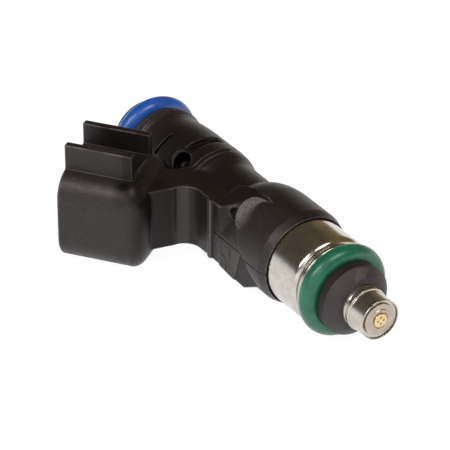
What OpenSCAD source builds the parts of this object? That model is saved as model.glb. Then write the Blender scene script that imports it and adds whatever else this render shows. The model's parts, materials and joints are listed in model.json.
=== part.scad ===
// Port fuel injector, compact solenoid type, lying along X.
// +X points along the axis to the spray tip, +Z is the latch side of the
// electrical connector, and the connector reaches out on the -Y side.
// The origin is the middle of the lower O-ring, on the axis.

/* [Seals] */
// Outer diameter of both O-rings, free
oring_od = 14.6; // [14.4:0.1:14.8]
// Section diameter of both O-rings
oring_cs = 3.2; // [3.0:0.05:3.2]
// Distance between the two O-ring centres
seal_spacing = 52; // [51:0.5:56]

/* [Spray tip] */
// Radius of the valve body at the spray tip
tip_r = 3.2; // [3.0:0.05:3.25]
// Distance from the lower O-ring centre to the tip rim
tip_len = 9.6; // [9.4:0.1:9.8]
// Radius of each spray hole
spray_hole_r = 0.13; // [0.08:0.01:0.18]
// Distance of the spray holes from the axis
spray_hole_pitch_r = 0.5; // [0.45:0.01:0.65]

/* [Steel housing] */
// Outer radius of the steel magnet housing
housing_r = 6.9; // [6.8:0.05:6.95]
// Wall of the steel magnet housing
housing_wall = 0.6; // [0.5:0.05:0.65]

/* [Overmould] */
// Radius of the collar over the magnet housing
collar_r = 7.6; // [7.5:0.05:7.7]
// Radius of the neck of the barrel between collar and head
waist_r = 5.85; // [5.6:0.05:6.0]
// Radius of the barrel head
head_r = 6.65; // [6.5:0.05:6.7]
// Half height of the arm that carries the connector
arm_half_h = 5.05; // [4.8:0.05:5.2]

/* [Connector] */
// Direction of the connector mouth, measured from +X about +Z
conn_angle = 217; // [215:1:219]
// Outer width of the connector shell
shell_w = 15.1; // [14.6:0.1:15.6]
// Bottom of the connector shell below the axis
shell_bottom = 7.8; // [7.5:0.1:8.0]
// Top of the connector shell above the axis
shell_top = 6.9; // [6.7:0.1:7.2]
// Distance from the axis crossing to the mouth
mouth_at = 31.4; // [30.5:0.1:32]
// Wall thickness of the connector shell
shell_wall = 1.5; // [1.2:0.1:1.7]
// Top of the two latch rails above the axis
rail_top = 10.95; // [10.5:0.05:11.2]
// Distance between the outer faces of the latch rails
rail_span = 8.3; // [8.0:0.1:8.6]
// Thickness of each latch rail
rail_t = 1.2; // [1.0:0.1:1.4]
// Distance between the two blades
blade_pitch = 4.2; // [4.0:0.1:4.6]

/* [Valve] */
// Travel of the needle
lift = 0.08; // [0.06:0.01:0.1]
// Number of coils in the return spring
spring_coils = 7; // [6:1:8]

/* [Hidden] */
$fn = 96;

oring_r = oring_cs / 2;                // section radius
oring_c = oring_od / 2 - oring_r;      // radius of the section's centre
seat_r = oring_c - oring_r - 0.02;     // tube radius under an O-ring
up_x = -seal_spacing;                  // upper O-ring centre
inlet_x = up_x - 3.2;                  // inlet end face
tube_r = 3.0;                          // narrow tube, outside
bore_r = 2.6;                          // narrow tube, inside
gap_x = -12;                           // front face of the pole core
arm_x0 = gap_x + lift + 0.02;          // rear face of the armature, just short of the pole at full lift
ball_r = 1.45;
ball_x = 7.25;
seat_x = 7.1;
conn_x = -18.8;                        // where the mouth line meets the axis
blade_t = 0.8;
blade_w = 1.5;
cut = 0.02;                            // room round an embedded piece
coil_space_r = 6.5;                     // housing radius behind the collar's rim
coil_x = -19.9;                        // rear end of the coil space

// Points along a circular arc
function arc(cx, cy, r, a0, a1, n) =
  [for (i = [0:n]) let (a = a0 + (a1 - a0) * i / n)
    [cx + r * cos(a), cy + r * sin(a)]];

// Revolve [radius, x] points about the X axis
module turned(pts) { rotate([0, 90, 0]) rotate_extrude() polygon(pts); }
// A straight cylinder along X
module rod(x0, x1, r) { translate([x0, 0, 0]) rotate([0, 90, 0]) cylinder(h = x1 - x0, r = r); }
// A box from its two corners, grown by g on every side
module box(p, q, g = 0) {
  translate([p[0] - g, p[1] - g, p[2] - g])
    cube([q[0] - p[0] + 2 * g, q[1] - p[1] + 2 * g, q[2] - p[2] + 2 * g]);
}
// Connector frame: x out of the mouth, y to the near side, z up
module conn() { translate([conn_x, 0, 0]) rotate([0, 0, conn_angle]) children(); }

// ---------------------------------------------------------------- overmould
// Barrel, ring and collar, one turned body
module barrel() {
  turned([[0, up_x + 2.7], [6.45, up_x + 2.7], [6.65, up_x + 2.95],
    [6.65, up_x + 3.6], [6.35, up_x + 4.4], [6.3, up_x + 5.6],
    [6.42, up_x + 6.8], [6.58, up_x + 8.6], [head_r, up_x + 10.5],
    [head_r, -36.4], [6.72, -36.2], [6.72, -34.1], [6.62, -34.0],
    [6.62, -33.75], [6.72, -33.7], [6.7, -33.3], [6.5, -32.55],
    [6.2, -31.7], [waist_r + 0.08, -30.8], [waist_r, -30.3],
    [waist_r, -23.7], [6.15, -23.35], [6.6, -22.6], [6.98, -21.6],
    [7.3, -20.4], [7.5, -19.2], [collar_r, -17.8], [collar_r, -10.6],
    [7.54, -10.5], [7.22, -9.5], [7.17, -9.3], [7.17, -9.08], [0, -9.08]]);
}
// Arm from the barrel to the shell, a plate along Z
module arm() {
  difference() {
    arm_plate();
    // above the parting plane the wall runs out on a taper into the saddle
    intersection() {
      turned([[9.7, -22.92], [7.0, -21.17], [6.97, -20.3], [12, -20.3], [12, -22.92]]);
      box([-24, -12, -0.05], [-20, 0, 9]);
    }
  }
}
module arm_plate() {
  translate([0, 0, -arm_half_h]) linear_extrude(height = 2 * arm_half_h)
    polygon(concat([[-32.3, -17.5], [-31.1, -13.4], [-30.35, -9.6]],
      arc(-27.6, -9.75, 2.8, 176, 96, 8),
      [[-25.3, -6.95], [-25.15, -7.25], [-24.75, -7.32], [-24.3, -7.25],
       [-24.15, -6.95], [-20.5, -6.95], [-20.5, 0],
       [-34.2, 0], [-37.4, -4.6], [-37.4, -7.3], [-36.4, -8.2],
       [-40.5, -14.5]]));
}
// Extrude an [x, z] outline along Y, from y0 to y1
module side(y0, y1) {
  translate([0, y1, 0]) rotate([90, 0, 0]) linear_extrude(height = y1 - y0) children();
}
// Rim of the collar on the connector side, [angle, x], from the parting plane up
rim = [[0, -14.7], [4.5, -15.3], [9, -15.95], [14, -16.44], [21, -17.1], [29, -18.05], [37, -18.9],
  [43, -19.15], [49.4, -19.35], [56.3, -19.4], [63.4, -19.1], [68.9, -18.5], [72.2, -17.6], [74.2, -16.6]];
function on_rim(r) = [for (p = rim) [p[1], r * sin(p[0])]];
// Rim of the collar below the parting plane
low_rim = [[-14.1, -0.35], [-13.5, -1.5], [-12.9, -2.4], [-12.45, -3.2], [-12.2, -4.0]];
// The shoulder is cut back beside the rim: round above the parting plane, flat below it
module shoulder_cut() {
  intersection() {
    turned([[7.0, -24.2], [9, -24.2], [9, -14], [7.0, -14]]);
    side(-10, -1.3) polygon(concat([[-24.3, -0.03], [-14.7, -0.03]], on_rim(7.6),
      [[-15.75, 7.37], [-16.8, 7.41], [-18.2, 7.44], [-24.3, 7.44]]));
  }
  side(-10, -6.7) polygon(concat([[-24, 0], [-14.6, 0]], low_rim, [[-12.2, -4.3], [-24, -4.3]]));
}
// Wall of the block under the arm, and the lower face that runs on to the collar
module block() {
  side(-6.97, -3) polygon([[-22.15, 0.2], [-22.15, -5.6], [-19.6, -5.69], [-18.45, -5.8], [-16.45, 0.2]]);
  side(-6.68, -3) polygon(concat([[-19.0, 0.1], [-19.0, -5.65], [-15.9, -6.0], [-12.3, -4.05]],
    [for (i = [4:-1:0]) low_rim[i]], [[-14.5, 0.05]]));
}
// Saddle on the shoulder, and the ramp that rises from the rim
module saddle() {
  intersection() {
    turned([[0, -24.1], [6.8, -24.1], [7.02, -23.9], [7.02, -17], [0, -17]]);
    side(-10, -1.45) polygon([[-22.9, 0.04], [-23.4, 4.0], [-23.75, 4.8], [-23.95, 5.8], [-23.8, 6.45],
      [-23.1, 6.72], [-22.3, 6.83], [-21.4, 6.86], [-17.2, 6.9], [-17.2, 0.04]]);
  }
  intersection() {
    turned([[0, -19.6], [7.98, -19.6], [7.5, -16.6], [0, -16.6]]);
    side(-10, -1.6) polygon(concat([for (i = [7:13]) [rim[i][1] - 0.02, 7.95 * sin(rim[i][0])]],
      [[-15.9, 7.7], [-15.9, 4.5], [-18.6, 4.5]]));
  }
}
// Small keyhole recess in the saddle
module notch() {
  intersection() {
    turned([[6.72, -22], [9, -22], [9, -18], [6.72, -18]]);
    side(-10, -3) polygon([[-20.93, 4.29], [-21.0, 4.67], [-20.6, 4.96], [-19.85, 4.73], [-18.95, 3.7],
      [-20.0, 3.83], [-20.7, 4.1]]);
  }
}
// Cross-section of the shell, y to the near side, z up
module shell_section(g, top) {
  w = shell_w / 2 - g; b = -shell_bottom + g; t = top - g;
  rb = 4.3 - g * 0.8; rt = 3.8 - g * 0.8;
  polygon(concat(
    arc(w - rt, t - rt, rt, 0, 90, 8), arc(-w + rt, t - rt, rt, 90, 180, 8),
    arc(-w + rb, b + rb, rb, 180, 270, 8), arc(w - rb, b + rb, rb, 270, 360, 8)));
}
module shell() {
  w = shell_w / 2;
  conn() {
    // the section runs along the mouth line; its rear corners are rounded
    intersection() {
      translate([17.6, 0, 0]) rotate([90, 0, 90]) linear_extrude(height = mouth_at - 17.6)
        shell_section(0, shell_top);
      translate([0, 0, -12]) linear_extrude(height = 24)
        polygon(concat([[mouth_at, -w], [mouth_at, w]],
          arc(20.1, w - 2.2, 2.2, 90, 180, 6), arc(20.1, -w + 2.2, 2.2, 180, 270, 6)));
      translate([0, 12, 0]) rotate([90, 0, 0]) linear_extrude(height = 24)
        polygon(concat([[mouth_at, -shell_bottom], [mouth_at, shell_top]],
          arc(21.4, shell_top - 3.5, 3.5, 90, 180, 6),
          arc(20.1, -shell_bottom + 2.2, 2.2, 180, 270, 6)));
    }
    // pad under the latch, and the two rails
    box([20.5, -rail_span / 2 + 0.5, 4], [mouth_at, rail_span / 2 - 0.5, 7.5]);
    rail();
    mirror([0, 1, 0]) rail();
    // latch ramp
    translate([0, 1.5, 0]) rotate([90, 0, 0]) linear_extrude(height = 3)
      polygon([[26.1, 7.2], [26.1, 8.55], [26.5, 8.6], [29.2, 7.3], [29.2, 7.2]]);
  }
}
module rail() {
  box([20.5, rail_span / 2 - rail_t, 4], [mouth_at, rail_span / 2, rail_top - 0.25]);
  box([20.65, rail_span / 2 - rail_t + 0.12, 4], [mouth_at - 0.25, rail_span / 2 - 0.12, rail_top]);
}
// Socket in the shell
module socket() {
  conn() translate([20.6, 0, 0]) rotate([90, 0, 90])
    linear_extrude(height = mouth_at - 20.6 + 1) shell_section(shell_wall, shell_top + 0.1);
}
module overmould() {
  color([0.16, 0.15, 0.15]) difference() {
    union() {
      difference() { barrel(); shoulder_cut(); }
      arm(); block(); saddle(); shell();
    }
    notch();
    socket();
    // bores for the tube and for the magnet housing
    rod(up_x, coil_x + 0.5, tube_r + cut);
    turned([[0, up_x], [seat_r + cut, up_x], [seat_r + cut, up_x + 5.5],
      [tube_r + cut, up_x + 7.5], [0, up_x + 7.5]]);
    rod(coil_x, -11.6, coil_space_r + cut);
    rod(-11.7, -9, housing_r + cut);
    rod(-9.35, -8, housing_r + 0.12);
    // seats of the retaining clip
    box([-38.3, -4, 5.95], [-36.6, 4, 8]);
    box([-38.3, -4, -8], [-36.6, 4, -5.95]);
    translate([-36.6, -4.9, 3.3]) linear_extrude(height = 6)
      polygon([[-1.7, -0.7], [-1.6, 1.3], [0.7, 1.3], [1.7, 0.4], [1.4, -0.9], [-0.3, -1.2]]);
    // shallow line round the head
    intersection() {
      turned([[6.05, -42.95], [9, -42.95], [9, -42.5], [6.05, -42.5]]);
      translate([-45, 0, 0]) rotate([-24, 0, 0]) translate([0, -9, 0]) rotate([0, 0, 0])
        linear_extrude(height = 6.2) polygon([[0, 0], [5, 0], [5, 7.3], [0, 7.3]]);
    }
    terminal(1, cut);
    terminal(-1, cut);
  }
}

// ------------------------------------------------------------------- seals
module ring_seal(x) {
  translate([x, 0, 0]) rotate([0, 90, 0]) rotate_extrude()
    translate([oring_c, 0]) circle(r = oring_r);
}
module upper_o_ring() { color([0.16, 0.33, 0.63]) ring_seal(up_x); }
module lower_o_ring() { color([0.15, 0.43, 0.32]) ring_seal(0); }
module upper_support_ring() {
  color([0.25, 0.25, 0.26]) turned([[seat_r + cut, up_x + oring_r + 0.03],
    [6.1, up_x + oring_r + 0.03], [6.2, up_x + oring_r + 0.13],
    [6.2, up_x + 2.66], [seat_r + cut, up_x + 2.66]]);
}
module backing_ring() {
  color([0.75, 0.73, 0.7]) turned([[seat_r + cut, -2.32], [5.85, -2.32],
    [6.0, -2.17], [6.0, -1.8], [5.85, -oring_r - 0.04], [seat_r + cut, -oring_r - 0.04]]);
}
module lower_cap() {
  color([0.3, 0.29, 0.3]) turned([[3.44, oring_r + 0.04], [5.4, oring_r + 0.04],
    [5.62, oring_r + 0.3], [5.64, 3.3], [5.5, 3.6], [5.15, 3.85],
    [4.1, 4.75], [3.75, 4.98], [3.44, 5.04]]);
}

// ------------------------------------------------------------ steel housing
module magnet_housing() {
  color([0.78, 0.77, 0.74]) turned(concat(
    [[coil_space_r - housing_wall, coil_x + 0.05], [coil_space_r, coil_x + 0.05],
     [coil_space_r, -11.65], [housing_r, -11.65]],
    arc(housing_r - 1.1, -3.45, 1.1, 0, 90, 8),
    [[seat_r + 0.04, -2.35], [seat_r + 0.04, -4.2], [coil_space_r - housing_wall, -4.2]]));
}
module flux_washer() {
  color([0.6, 0.6, 0.62]) difference() {
    turned([[tube_r + 0.03, coil_x + 0.1], [coil_space_r - housing_wall - 0.03, coil_x + 0.1],
      [coil_space_r - housing_wall - 0.03, coil_x + 1.3], [tube_r + 0.03, coil_x + 1.3]]);
    box([coil_x - 1, -8, -3.1], [coil_x + 2, -4, 3.1]);
  }
}
module coil_bobbin() {
  color([0.2, 0.3, 0.25]) difference() {
    union() { rod(coil_x + 1.4, -5.6, 3.65); rod(coil_x + 1.4, coil_x + 2.3, 5.78); rod(-6.4, -5.6, 5.78); }
    rod(-21, -4, tube_r + 0.06);
    for (s = [-1, 1]) translate([coil_x + 1.2, -4.9, 2 * s]) rotate([0, 90, 0]) cylinder(h = 1.2, r = 0.37);
  }
}
module coil_winding() {
  color([0.72, 0.4, 0.2]) turned([[3.68, coil_x + 2.33], [5.6, coil_x + 2.33], [5.6, -6.43], [3.68, -6.43]]);
}
module coil_pin(s) {
  color([0.8, 0.75, 0.6]) translate([coil_x, -4.9, 2 * s]) rotate([0, 90, 0]) cylinder(h = 2.3, r = 0.35);
}
module coil_pin_1() { coil_pin(1); }
module coil_pin_2() { coil_pin(-1); }

// ---------------------------------------------------------------- terminals
// Flat blade with its end chamfered on all four sides
module blade(w, t) {
  intersection() {
    translate([0, 0, -1]) linear_extrude(height = 2)
      polygon([[18.5, -w], [28.7, -w], [29.5, -w + 0.45], [29.5, w - 0.45], [28.7, w], [18.5, w]]);
    translate([0, 1, 0]) rotate([90, 0, 0]) linear_extrude(height = 2)
      polygon([[18.5, -t], [28.8, -t], [29.5, -t + 0.28], [29.5, t - 0.28], [28.8, t], [18.5, t]]);
  }
}
// Blade in the socket, step up or down, arm to the barrel, run to the coil
module terminal(s, g) {
  conn() {
    if (g > 0) box([18.5, s * blade_pitch / 2 - blade_w / 2, -blade_t / 2],
      [21, s * blade_pitch / 2 + blade_w / 2, blade_t / 2], g);
    else translate([0, s * blade_pitch / 2, 0]) blade(blade_w / 2, blade_t / 2);
  }
  // riser and cross bar behind the socket floor
  conn() if (s > 0) {
    box([18.4, blade_pitch / 2 - blade_w / 2, -blade_t / 2], [19.4, blade_pitch / 2 + blade_w / 2, 2.45], g);
    box([18.45, -0.6, 1.5], [19.35, blade_pitch / 2 + blade_w / 2 - 0.1, 2.5], g);
  } else {
    box([18.4, -blade_pitch / 2 - blade_w / 2, -2.45], [19.4, -blade_pitch / 2 + blade_w / 2, blade_t / 2], g);
    box([18.45, -blade_pitch / 2 - blade_w / 2 + 0.1, -2.5], [19.35, 0.6, -1.5], g);
  }
  translate([-33.6, -11.1, 0]) rotate([0, 0, 51.7])
    box([-0.6, -0.5, s > 0 ? 1.6 : -2.4], [8.1, 0.5, s > 0 ? 2.4 : -1.6], g);
  box([-29.2, -5.35, s > 0 ? 1.66 : -2.34], [coil_x, -4.45, s > 0 ? 2.34 : -1.66], g);
}
module terminal_1() { color([0.8, 0.78, 0.7]) terminal(1, 0); }
module terminal_2() { color([0.8, 0.78, 0.7]) terminal(-1, 0); }

// --------------------------------------------------------------- fuel path
module inlet_tube() {
  color([0.75, 0.75, 0.75]) turned([[seat_r - 0.45, inlet_x + 1.2], [seat_r, inlet_x + 1.2],
    [seat_r, up_x + 5.5], [tube_r, up_x + 7.5], [tube_r, gap_x - 0.2], [bore_r, gap_x - 0.2],
    [bore_r, up_x + 7.3], [seat_r - 0.45, up_x + 5.3]]);
}
module filter_frame() {
  color([0.25, 0.25, 0.25]) difference() {
    union() {
      turned([[2.6, inlet_x], [5.3, inlet_x], [5.5, inlet_x + 0.2], [5.5, inlet_x + 1.0],
        [5.3, inlet_x + 1.17], [2.6, inlet_x + 1.17]]);
      turned([[2.6, inlet_x + 1.1], [seat_r - 0.47, inlet_x + 1.1],
        [seat_r - 0.47, inlet_x + 4], [3.1, inlet_x + 4.6], [2.6, inlet_x + 4.6]]);
      for (a = [0:90:270]) rotate([a, 0, 0]) box([inlet_x + 4.4, 2.1, -0.3], [up_x + 5.6, 2.75, 0.3]);
      rod(up_x + 5.0, up_x + 5.6, 2.75);
    }
    turned([[0, inlet_x - 1], [3.1, inlet_x - 1], [2.6, inlet_x + 0.6], [0, inlet_x + 0.6]]);
  }
}
module filter_mesh() {
  color([0.8, 0.78, 0.72]) turned([[2.8, inlet_x + 4.63], [2.9, inlet_x + 4.63],
    [2.9, up_x + 5.6], [2.8, up_x + 5.6]]);
}
module pole_core() {
  color([0.55, 0.55, 0.58]) turned([[1.3, -24], [2.4, -24], [bore_r - 0.02, -23.8],
    [bore_r - 0.02, gap_x], [1.3, gap_x]]);
}
module adjusting_sleeve() {
  color([0.7, 0.7, 0.72]) difference() {
    turned([[0.8, -25.2], [1.28, -25.2], [1.28, -19.4], [0.8, -19.4]]);
    box([-26, 0, -0.15], [-19, 2, 0.15]);
  }
}
module non_magnetic_ring() {
  color([0.85, 0.83, 0.8]) turned([[bore_r, gap_x - 0.18], [tube_r, gap_x - 0.18],
    [tube_r, -10.42], [bore_r, -10.42]]);
}
module valve_body() {
  color([0.72, 0.7, 0.66]) turned([[bore_r, -10.4], [tube_r, -10.4], [tube_r, -5.4],
    [3.5, -5.2], [seat_r, -4.9], [seat_r, oring_r - 0.02], [3.42, oring_r + 0.02],
    [3.42, 6.2], [3.35, 6.4], [tip_r, 6.5], [tip_r, tip_len - 0.15],
    [tip_r - 0.05, tip_len - 0.05], [tip_r - 0.12, tip_len], [3.02, tip_len], [2.7, tip_len - 0.3], [2.47, tip_len - 0.34], [2.47, 6.55], [1.9, 6.55],
    [1.9, -2.4], [bore_r, -2.9]]);
}
module guide_ring() {
  color([0.7, 0.7, 0.7]) difference() {
    turned([[ball_r + 0.04, 6.57], [2.45, 6.57], [2.45, seat_x - 0.02], [ball_r + 0.04, seat_x - 0.02]]);
    for (a = [45:90:315]) rotate([a, 0, 0]) box([6, 1.3, -0.3], [8, 2.0, 0.3]);
  }
}
// Cone whose wall touches the ball at 45 degrees
module valve_seat() {
  k = ball_r * sqrt(2);
  color([0.62, 0.62, 0.64]) turned([[2.1, seat_x], [2.45, seat_x], [2.45, 9.28],
    [0.95, 9.28], [0.95, 9.0], [0.45, 9.0], [0.45, ball_x + k - 0.45], [2.1, ball_x + k - 2.1]]);
}
module orifice_plate() {
  color([0.86, 0.75, 0.5]) difference() {
    turned([[0, 9.3], [2.45, 9.3], [2.45, 9.46], [1.2, 9.46], [1.12, 9.8], [1.02, 9.86], [0, 9.86]]);
    for (a = [0:90:270]) rotate([a, 0, 0]) translate([9, spray_hole_pitch_r, 0])
      rotate([0, 90, 0]) cylinder(h = 2, r = spray_hole_r, $fn = 24);
  }
}
module plate_retainer() {
  color([0.72, 0.68, 0.65]) turned([[1.24, 9.48], [2.45, 9.48], [2.45, 9.56], [1.66, 9.56],
    [1.58, 9.72], [1.5, 9.78], [1.3, 9.78], [1.24, 9.72]]);
}
module armature() {
  color([0.5, 0.5, 0.53]) difference() {
    turned([[0.7, -11], [1.28, -11.0], [1.28, arm_x0], [2.4, arm_x0], [2.5, arm_x0 + 0.1],
      [2.5, -4.6], [2.3, -4.2], [1.12, -4.2], [1.12, -8], [0.7, -8]]);
    for (a = [30:120:270]) rotate([a, 0, 0]) translate([-13, 1.85, 0]) rotate([0, 90, 0])
      cylinder(h = 10, r = 0.35, $fn = 24);
  }
}
module needle_tube() {
  color([0.74, 0.74, 0.76]) difference() {
    turned([[0.7, -7.98], [1.1, -7.98], [1.1, 6.26], [0.7, 5.94]]);
    for (a = [0, 90]) rotate([a, 0, 0]) translate([4.6, 0, -2]) cylinder(h = 4, r = 0.4, $fn = 32);
  }
}
module valve_ball() {
  color([0.85, 0.85, 0.87]) translate([ball_x, 0, 0]) rotate([0, 90, 0]) rotate_extrude($fn = 64)
    intersection() { circle(r = ball_r, $fn = 64); translate([0, -3]) square([3, 6]); }
}
// Round wire coil between the sleeve and the armature
module return_spring() {
  x0 = -19.36; x1 = -11.1; r = 0.98; w = 0.22; n = spring_coils; m = 14;
  N = n * m;
  pts = [for (i = [0:N]) for (j = [0:7]) let (a = 360 * i / m, b = 45 * j, q = i / N,
      x = x0 + w + (x1 - x0 - 2 * w) * q, rr = r + w * cos(b))
    [x + w * sin(b), rr * cos(a), rr * sin(a)]];
  faces = concat([[for (j = [0:7]) j]], [[for (j = [7:-1:0]) N * 8 + j]],
    [for (i = [0:N - 1]) for (j = [0:7])
      [i * 8 + j, (i + 1) * 8 + j, (i + 1) * 8 + (j + 1) % 8, i * 8 + (j + 1) % 8]]);
  color([0.7, 0.7, 0.7]) polyhedron(points = pts, faces = faces, convexity = 8);
}

overmould();
upper_o_ring();
upper_support_ring();
lower_o_ring();
backing_ring();
lower_cap();
magnet_housing();
valve_body();
orifice_plate();
plate_retainer();
valve_seat();
guide_ring();
inlet_tube();
filter_frame();
filter_mesh();
adjusting_sleeve();
return_spring();
pole_core();
non_magnetic_ring();
flux_washer();
coil_bobbin();
coil_winding();
coil_pin_1();
coil_pin_2();
terminal_1();
terminal_2();
armature();
needle_tube();
valve_ball();
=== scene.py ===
import bpy, math, json
import numpy as np
from mathutils import Matrix, Vector


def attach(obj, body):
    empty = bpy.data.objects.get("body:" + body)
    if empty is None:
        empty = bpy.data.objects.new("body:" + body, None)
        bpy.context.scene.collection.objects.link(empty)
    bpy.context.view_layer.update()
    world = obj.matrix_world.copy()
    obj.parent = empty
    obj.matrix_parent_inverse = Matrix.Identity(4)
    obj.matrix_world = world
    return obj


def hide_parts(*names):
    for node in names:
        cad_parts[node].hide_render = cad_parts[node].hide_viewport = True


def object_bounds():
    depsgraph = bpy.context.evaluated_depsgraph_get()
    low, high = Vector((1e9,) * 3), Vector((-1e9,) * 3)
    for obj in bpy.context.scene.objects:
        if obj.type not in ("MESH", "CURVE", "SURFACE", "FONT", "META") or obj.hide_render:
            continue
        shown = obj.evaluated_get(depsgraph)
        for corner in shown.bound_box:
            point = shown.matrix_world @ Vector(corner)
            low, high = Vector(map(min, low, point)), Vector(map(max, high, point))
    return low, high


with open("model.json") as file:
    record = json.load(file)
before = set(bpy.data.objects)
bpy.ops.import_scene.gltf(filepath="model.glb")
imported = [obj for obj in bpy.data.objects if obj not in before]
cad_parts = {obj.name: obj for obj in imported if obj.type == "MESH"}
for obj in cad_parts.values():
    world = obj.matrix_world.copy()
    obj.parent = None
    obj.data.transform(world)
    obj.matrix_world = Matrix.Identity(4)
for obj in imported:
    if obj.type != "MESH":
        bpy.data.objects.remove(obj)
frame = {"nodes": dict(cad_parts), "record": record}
CAD_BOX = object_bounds()
MM = 0.001
F = np.float32


# ---------------------------------------------------------------- distance fields, in mm
def smin(a, b, k):
    h = np.maximum(k - np.abs(a - b), 0) / k
    return np.minimum(a, b) - h * h * k * 0.25


def smax(a, b, k):
    return -smin(-a, -b, k)


def poly_field(u, v, pts):
    """Signed distance to a closed polygon, negative inside."""
    d = np.full(u.shape, 1e9, F)
    inside = np.zeros(u.shape, bool)
    n = len(pts)
    for i in range(n):
        (x1, y1), (x2, y2) = pts[i], pts[(i + 1) % n]
        ex, ey = x2 - x1, y2 - y1
        L = ex * ex + ey * ey
        if L < 1e-12:
            continue
        t = np.clip(((u - x1) * ex + (v - y1) * ey) / L, 0, 1)
        d = np.minimum(d, (u - x1 - t * ex) ** 2 + (v - y1 - t * ey) ** 2)
        if y1 != y2:
            c = (y1 > v) != (y2 > v)
            inside ^= c & (u < ex * (v - y1) / ey + x1)
    d = np.sqrt(d)
    return np.where(inside, -d, d).astype(F)


class Table:
    """A 2D distance field kept as a grid, softened a little so that its corners are moulded, not knife sharp."""

    def __init__(self, pts, lo, hi, h=0.05, soft=1):
        self.lo, self.h = lo, h
        nu, nv = int((hi[0] - lo[0]) / h) + 2, int((hi[1] - lo[1]) / h) + 2
        u = (lo[0] + h * np.arange(nu, dtype=F))[:, None] + np.zeros((1, nv), F)
        v = (lo[1] + h * np.arange(nv, dtype=F))[None, :] + np.zeros((nu, 1), F)
        t = poly_field(u, v, pts)
        for _ in range(soft):
            for ax in (0, 1):
                p = np.concatenate([t.take([0], ax), t, t.take([-1], ax)], ax)
                n = t.shape[ax]
                t = (p.take(range(0, n), ax) + 2 * p.take(range(1, n + 1), ax) + p.take(range(2, n + 2), ax)) * F(0.25)
        self.t = t.astype(F)

    def __call__(self, u, v):
        a = np.clip((u - self.lo[0]) / self.h, 0, self.t.shape[0] - 1.001)
        b = np.clip((v - self.lo[1]) / self.h, 0, self.t.shape[1] - 1.001)
        i, j = a.astype(np.int32), b.astype(np.int32)
        a -= i
        b -= j
        t = self.t
        return (t[i, j] * (1 - a) + t[i + 1, j] * a) * (1 - b) + (t[i, j + 1] * (1 - a) + t[i + 1, j + 1] * a) * b


def rbox(px, py, pz, lo, hi, r):
    """A box with its edges rounded by r."""
    q = [np.abs(p - (a + b) / 2) - ((b - a) / 2 - r) for p, a, b in zip((px, py, pz), lo, hi)]
    out = np.sqrt(sum(np.maximum(k, 0) ** 2 for k in q))
    return out + np.minimum(np.maximum(np.maximum(q[0], q[1]), q[2]), 0) - r


def arc(cx, cy, r, a0, a1, n):
    return [(cx + r * math.cos(math.radians(a0 + (a1 - a0) * i / n)),
             cy + r * math.sin(math.radians(a0 + (a1 - a0) * i / n))) for i in range(n + 1)]


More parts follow.
